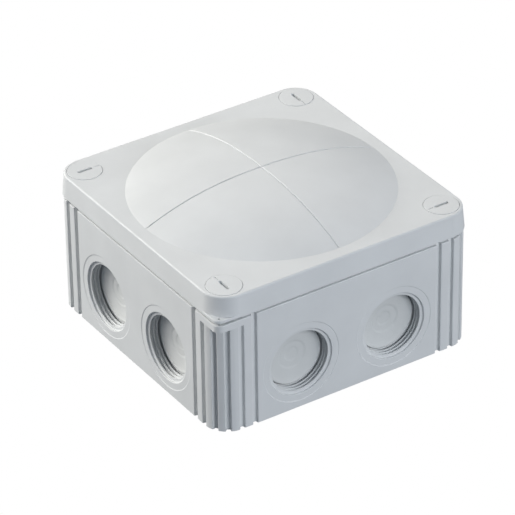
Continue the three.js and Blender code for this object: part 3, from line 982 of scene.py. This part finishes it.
def terminal_housing():
    skin = Skin()
    low, high = housing_low.z, housing_high.z
    half_length = housing_high.y
    plate = low + TERMINAL_PLATE
    mouth_low = (-WIRE_MOUTH_HALF, clamp_low.z - WIRE_MOUTH_MARGIN)
    mouth_high = (WIRE_MOUTH_HALF, clamp_high.z + WIRE_MOUTH_MARGIN)
    mouth = rounded_box(mouth_low, mouth_high, WIRE_MOUTH_RADIUS)
    wells = [(side * CLAMP_SCREW, CLAMP_SCREW_HEAD + WELL_CLEARANCE) for side in (-1, 1)]
    for i in POLES:
        block(skin, i * POLE_PITCH, BARREL / 2, half_length, low, high, BARREL_BEVEL, mouth, wells)
    gap = (POLE_PITCH - BARREL) / 2
    for i in POLES[:-1]:
        middle = (i + 0.5) * POLE_PITCH
        web = [(middle + u, y) for u, y in rectangle(gap + OVERLAP, -WEB_HALF, WEB_HALF)]
        slab(skin, web, low + 0.05, plate)
    inner = POLES[-1] * POLE_PITCH + BARREL / 2 - OVERLAP
    for side in (-1, 1):
        ear = [(inner, -EAR_HALF), *arc(EAR, 0, EAR_HALF, -90, 90, 16), (inner, EAR_HALF)]
        ear = [(side * x, y) for x, y in ear]
        slab(skin, ear, low, plate, [circle(side * EAR, 0, FIXING_SHANK + FIXING_CLEARANCE, 24)])
        rib = [(side * inner, -EAR_RIB_HALF), (side * EAR_RIB_END, -EAR_RIB_HALF)]
        rib += [(x, -y) for x, y in reversed(rib)]
        slab(skin, rib, plate - OVERLAP, plate + EAR_RIB_HEIGHT)
    skin.piece("terminal_strip", "base", "terminal", INSULATION, ["terminal_housing"], ease=0.22)


def clamps():
    low, high = clamp_low.z, clamp_high.z
    half_width = (clamp_high.x - clamp_low.x) / 2
    middle = low + WIRE_RADIUS + CLAMP_FLOOR
    # The wire bore: round below, with a flat ceiling for the screws to come through.
    bend = WIRE_RADIUS - WIRE_BEND
    bore = arc(bend, middle + bend, WIRE_BEND, 0, 90, 4)
    bore += arc(-bend, middle + bend, WIRE_BEND, 90, 180, 4)
    bore += [*arc(0, middle, WIRE_RADIUS, 180, 270, 4), *arc(0, middle, WIRE_RADIUS, 270, 360, 4)]
    wells = [(side * CLAMP_SCREW, CLAMP_SCREW_SHANK + 0.15) for side in (-1, 1)]
    for i in POLES:
        skin = Skin()
        x = i * POLE_PITCH
        block(skin, x, half_width, clamp_high.y, low, high, 0, bore, wells)
        number = i - POLES[0] + 1
        node = f"terminal_clamp_{number}"
        skin.piece(f"brass_clamp_{number}", "base", "brass", BRASS, [node], ease=0.15)


def slotted_screw(x, y, head, top, depth, shank, tip):
    """A cheese-head screw about Z with a slot across its head and a turned thread."""
    skin = Skin()
    half_slot = SCREW_SLOT * head
    floor = top - depth / 2
    turn_in = math.degrees(math.asin(half_slot / head))
    around = arc(0, 0, head, turn_in, 180 - turn_in, 20)
    gap = arc(0, 0, head, 180 - turn_in, 180 + turn_in, 4)[1:-1]
    under = [(half * px, half * py) for half in (1, -1) for px, py in around + gap]
    skin.bands([at(under, top - depth), at(under, floor)])
    for half in (1, -1):
        loops = []
        for radius, z in ((head, floor), (head, top - 0.3), (head - 0.09, top - 0.09), (head - 0.3, top)):
            angle = math.degrees(math.asin(half_slot / radius))
            loop = arc(0, 0, radius, angle, 180 - angle, 20)
            loops.append([(half * px, half * py, z) for px, py in loop])
        skin.bands(loops)
        skin.flat(loops[-1])
    end = arc(0, 0, head, -turn_in, turn_in, 4)
    strip = end + [(-px, -py) for px, py in end]
    skin.flat(at(strip, floor))
    neck = top - depth
    turns = int((neck - tip - 2 * SCREW_START) / SCREW_PITCH)
    stem = [(shank, neck)]
    for i in range(turns):
        z = neck - SCREW_START - i * SCREW_PITCH
        stem += [(shank, z), (shank - SCREW_THREAD, z - SCREW_PITCH / 2)]
    stem += [(shank, neck - SCREW_START - turns * SCREW_PITCH), (shank - SCREW_TIP, tip)]
    rings = [at(circle(0, 0, radius, 24), z) for radius, z in stem]
    skin.flat(at(under, neck), [rings[0]])
    skin.bands(rings)
    skin.flat(rings[-1])
    skin.points = [(x + px, y + py, pz) for px, py, pz in skin.points]
    return skin


def terminal_screws():
    top, tip = clamp_screw_high.z, clamp_screw_low.z
    head, height, shank = CLAMP_SCREW_HEAD, CLAMP_SCREW_HEIGHT, CLAMP_SCREW_SHANK
    for i in POLES:
        for side, place in ((-1, "front"), (1, "back")):
            name = f"clamp_screw_{i - POLES[0] + 1}_{place}"
            x, y = i * POLE_PITCH, side * CLAMP_SCREW
            skin = slotted_screw(x, y, head, top, height, shank, tip)
            skin.piece(name.replace("screw", "fastener"), name, "steel", STEEL, [name], sharp=35.0)
    top, tip = fixing_high.z, fixing_low.z
    for side, place in ((-1, "left"), (1, "right")):
        skin = slotted_screw(side * EAR, 0, FIXING_HEAD, top, FIXING_HEIGHT, FIXING_SHANK, tip)
        name = f"fixing_screw_{place}"
        skin.piece(f"fixing_fastener_{place}", "base", "steel", STEEL, [name], sharp=35.0)


# ---- materials

# Scales of the noise, and heights of the bumps in metres.
GRAIN_SCALE, GRAIN_HEIGHT = 5200, 0.00004
WAVE_SCALE, WAVE_HEIGHT = 160, 0.00006
MOTTLE_SCALE = 55
FILM_SCALE = 420
TURNING_SCALE, TURNING_HEIGHT = 2600, 0.00003


def node_material(name):
    material = bpy.data.materials.new(name)
    material.use_nodes = True
    nodes = material.node_tree.nodes
    return material, nodes, material.node_tree.links, nodes["Principled BSDF"]


def noise(nodes, links, place, scale, detail=3.0, roughness=0.5):
    texture = nodes.new("ShaderNodeTexNoise")
    texture.inputs["Scale"].default_value = scale
    texture.inputs["Detail"].default_value = detail
    texture.inputs["Roughness"].default_value = roughness
    links.new(place.outputs["Object"], texture.inputs["Vector"])
    return texture


def ranged(nodes, links, value, low, high, low_to, high_to):
    ramp = nodes.new("ShaderNodeMapRange")
    ramp.inputs["From Min"].default_value = low
    ramp.inputs["From Max"].default_value = high
    ramp.inputs["To Min"].default_value = low_to
    ramp.inputs["To Max"].default_value = high_to
    links.new(value, ramp.inputs["Value"])
    return ramp.outputs["Result"]


def tinted(nodes, links, factor, dark, light):
    mix = nodes.new("ShaderNodeMix")
    mix.data_type = "RGBA"
    mix.inputs["A"].default_value = (*dark, 1)
    mix.inputs["B"].default_value = (*light, 1)
    links.new(factor, mix.inputs["Factor"])
    return mix.outputs["Result"]


def bumped(nodes, links, shader, heights):
    """Chains bumps of (height, distance in metres, strength) into the shader's normal."""
    normal = None
    for height, distance, strength in heights:
        bump = nodes.new("ShaderNodeBump")
        bump.inputs["Distance"].default_value = distance
        bump.inputs["Strength"].default_value = strength
        links.new(height, bump.inputs["Height"])
        if normal is not None:
            links.new(normal, bump.inputs["Normal"])
        normal = bump.outputs["Normal"]
    links.new(normal, shader.inputs["Normal"])


def moulded(name, colour, roughness, grain=0.35, mottle=0.03, specular=0.5):
    """Satin injection-moulded plastic: fine spark-eroded grain, slight flow mottle."""
    material, nodes, links, shader = node_material(name)
    place = nodes.new("ShaderNodeTexCoord")
    fine = noise(nodes, links, place, GRAIN_SCALE, 2.0).outputs["Fac"]
    wave = noise(nodes, links, place, WAVE_SCALE, 2.0).outputs["Fac"]
    broad = noise(nodes, links, place, MOTTLE_SCALE, 4.0, 0.55).outputs["Fac"]
    dark = [c * (1 - mottle) for c in colour]
    light = [min(1.0, c * (1 + mottle)) for c in colour]
    factor = ranged(nodes, links, broad, 0.3, 0.7, 0, 1)
    links.new(tinted(nodes, links, factor, dark, light), shader.inputs["Base Color"])
    rough = ranged(nodes, links, broad, 0.3, 0.7, roughness - 0.04, roughness + 0.04)
    links.new(rough, shader.inputs["Roughness"])
    shader.inputs["Specular IOR Level"].default_value = specular
    bumped(nodes, links, shader, [(fine, GRAIN_HEIGHT, grain), (wave, WAVE_HEIGHT, 0.15)])
    return material


def metal(name, colour, roughness, grain):
    """Machined metal: a fine turned grain, and a dull film that comes and goes."""
    material, nodes, links, shader = node_material(name)
    place = nodes.new("ShaderNodeTexCoord")
    film = noise(nodes, links, place, FILM_SCALE, 4.0, 0.6).outputs["Fac"]
    lines = noise(nodes, links, place, TURNING_SCALE, 3.0, 0.6).outputs["Fac"]
    dull = [c * 0.72 for c in colour]
    factor = ranged(nodes, links, film, 0.35, 0.7, 0, 1)
    links.new(tinted(nodes, links, factor, dull, colour), shader.inputs["Base Color"])
    rough = ranged(nodes, links, film, 0.3, 0.7, roughness + 0.12, roughness - 0.05)
    links.new(rough, shader.inputs["Roughness"])
    shader.inputs["Metallic"].default_value = 1.0
    bumped(nodes, links, shader, [(lines, TURNING_HEIGHT, grain)])
    return material


HOUSING = moulded("light grey moulded plastic", (0.66, 0.672, 0.672), 0.5)
SCREW_PLASTIC = moulded("light grey screw plastic", (0.655, 0.668, 0.668), 0.46, grain=0.25)
MEMBRANE = moulded("soft grey membrane", (0.612, 0.624, 0.617), 0.58, grain=0.4, mottle=0.04, specular=0.4)
SEAL = moulded("dark seal rubber", (0.06, 0.062, 0.066), 0.7, grain=0.6)
INSULATION = moulded("off-white insulation", (0.76, 0.73, 0.65), 0.42, grain=0.2, mottle=0.02)
BRASS = metal("machined brass", (0.83, 0.63, 0.30), 0.3, 0.3)
STEEL = metal("zinc-plated steel", (0.66, 0.67, 0.69), 0.3, 0.3)


# ---- light and camera


WORLD_COLOUR = (0.76, 0.86, 1.0)
WORLD_STRENGTH = 0.197
# Name, azimuth from +X and elevation in degrees, size in metres, power in watts, colour.
LIGHTS = (
    ("key light", 122, 24, 0.9, 12.8, (1.0, 1.0, 0.94)),
    ("key light, left", 142, 24, 0.9, 13.8, (1.0, 0.97, 0.95)),
    ("back light", 45, 52, 0.9, 4.5, (1.0, 0.91, 0.8)),
    ("right light", 0, 36, 0.7, 2.7, (0.93, 0.96, 1.0)),
    ("front fill", 280, 22, 0.7, 10.2, (0.88, 0.93, 1.0)),
    ("low fill", 300, 8, 0.7, 2.5, (1.0, 0.96, 0.92)),
)
LIGHT_DISTANCE = 1.4
GROUND_HALF = 10.0

# The camera's azimuth is 0 where it looks along +Y. Angles in degrees, lengths in metres.
CAMERA_AZIMUTH = -33.16
CAMERA_ELEVATION = 32.46
CAMERA_ROLL = -0.79
CAMERA_DISTANCE = 1.3452
CAMERA_AIM = 0.0339
CAMERA_SHIFT = (-0.0092, -0.0299)
CAMERA_SENSOR = 36  # in mm, as the lens is
CAMERA_LENS = 258.8


def studio():
    world = bpy.data.worlds.new("studio")
    world.use_nodes = True
    bpy.context.scene.world = world
    background = world.node_tree.nodes["Background"]
    background.inputs["Color"].default_value = (*WORLD_COLOUR, 1)
    background.inputs["Strength"].default_value = WORLD_STRENGTH
    floor_mesh = bpy.data.meshes.new("floor")
    corners = at(rectangle(GROUND_HALF, -GROUND_HALF, GROUND_HALF), 0)
    floor_mesh.from_pydata(corners, [], [(0, 1, 2, 3)])
    floor = bpy.data.objects.new("floor", floor_mesh)
    bpy.context.scene.collection.objects.link(floor)
    # A plain white ground that glows evenly, and that lights nothing but the eye.
    material, _, _, shader = node_material("white ground")
    shader.inputs["Base Color"].default_value = (0, 0, 0, 1)
    shader.inputs["Specular IOR Level"].default_value = 0
    shader.inputs["Emission Color"].default_value = (1, 1, 1, 1)
    shader.inputs["Emission Strength"].default_value = 1
    floor_mesh.materials.append(material)
    floor.visible_diffuse = False
    floor.visible_glossy = False
    floor.visible_shadow = False
    bpy.context.scene.view_settings.view_transform = "Standard"
    for light in LIGHTS:
        softbox(*light)


def softbox(name, azimuth, elevation, size, power, colour):
    light = bpy.data.lights.new(name, "AREA")
    light.size = size
    light.energy = power
    light.color = colour
    lamp = bpy.data.objects.new(name, light)
    azimuth, elevation = math.radians(azimuth), math.radians(elevation)
    side = Vector((math.cos(azimuth), math.sin(azimuth), 0)) * math.cos(elevation)
    place = side + Vector((0, 0, math.sin(elevation)))
    lamp.location = place * LIGHT_DISTANCE
    lamp.rotation_euler = (-place).to_track_quat("-Z", "Y").to_euler()
    bpy.context.scene.collection.objects.link(lamp)


def camera():
    azimuth, elevation = math.radians(CAMERA_AZIMUTH), math.radians(CAMERA_ELEVATION)
    roll = math.radians(CAMERA_ROLL)
    level = Vector((math.sin(azimuth), -math.cos(azimuth), 0)) * math.cos(elevation)
    back = level + Vector((0, 0, math.sin(elevation)))
    data = bpy.data.cameras.new("camera")
    data.sensor_width = CAMERA_SENSOR
    data.lens = CAMERA_LENS
    data.shift_x, data.shift_y = CAMERA_SHIFT
    data.clip_start, data.clip_end = 0.1, 20
    eye = bpy.data.objects.new("camera", data)
    eye.location = Vector((0, 0, CAMERA_AIM)) + back * CAMERA_DISTANCE
    look = (-back).to_track_quat("-Z", "Y").to_matrix()
    eye.rotation_euler = (look @ Matrix.Rotation(roll, 3, "Z")).to_euler()
    bpy.context.scene.collection.objects.link(eye)
    bpy.context.scene.camera = eye


camera()
studio()
base_shell()
lid_cover()
membranes()
lid_screws()
lid_seal()
terminal_housing()
clamps()
terminal_screws()
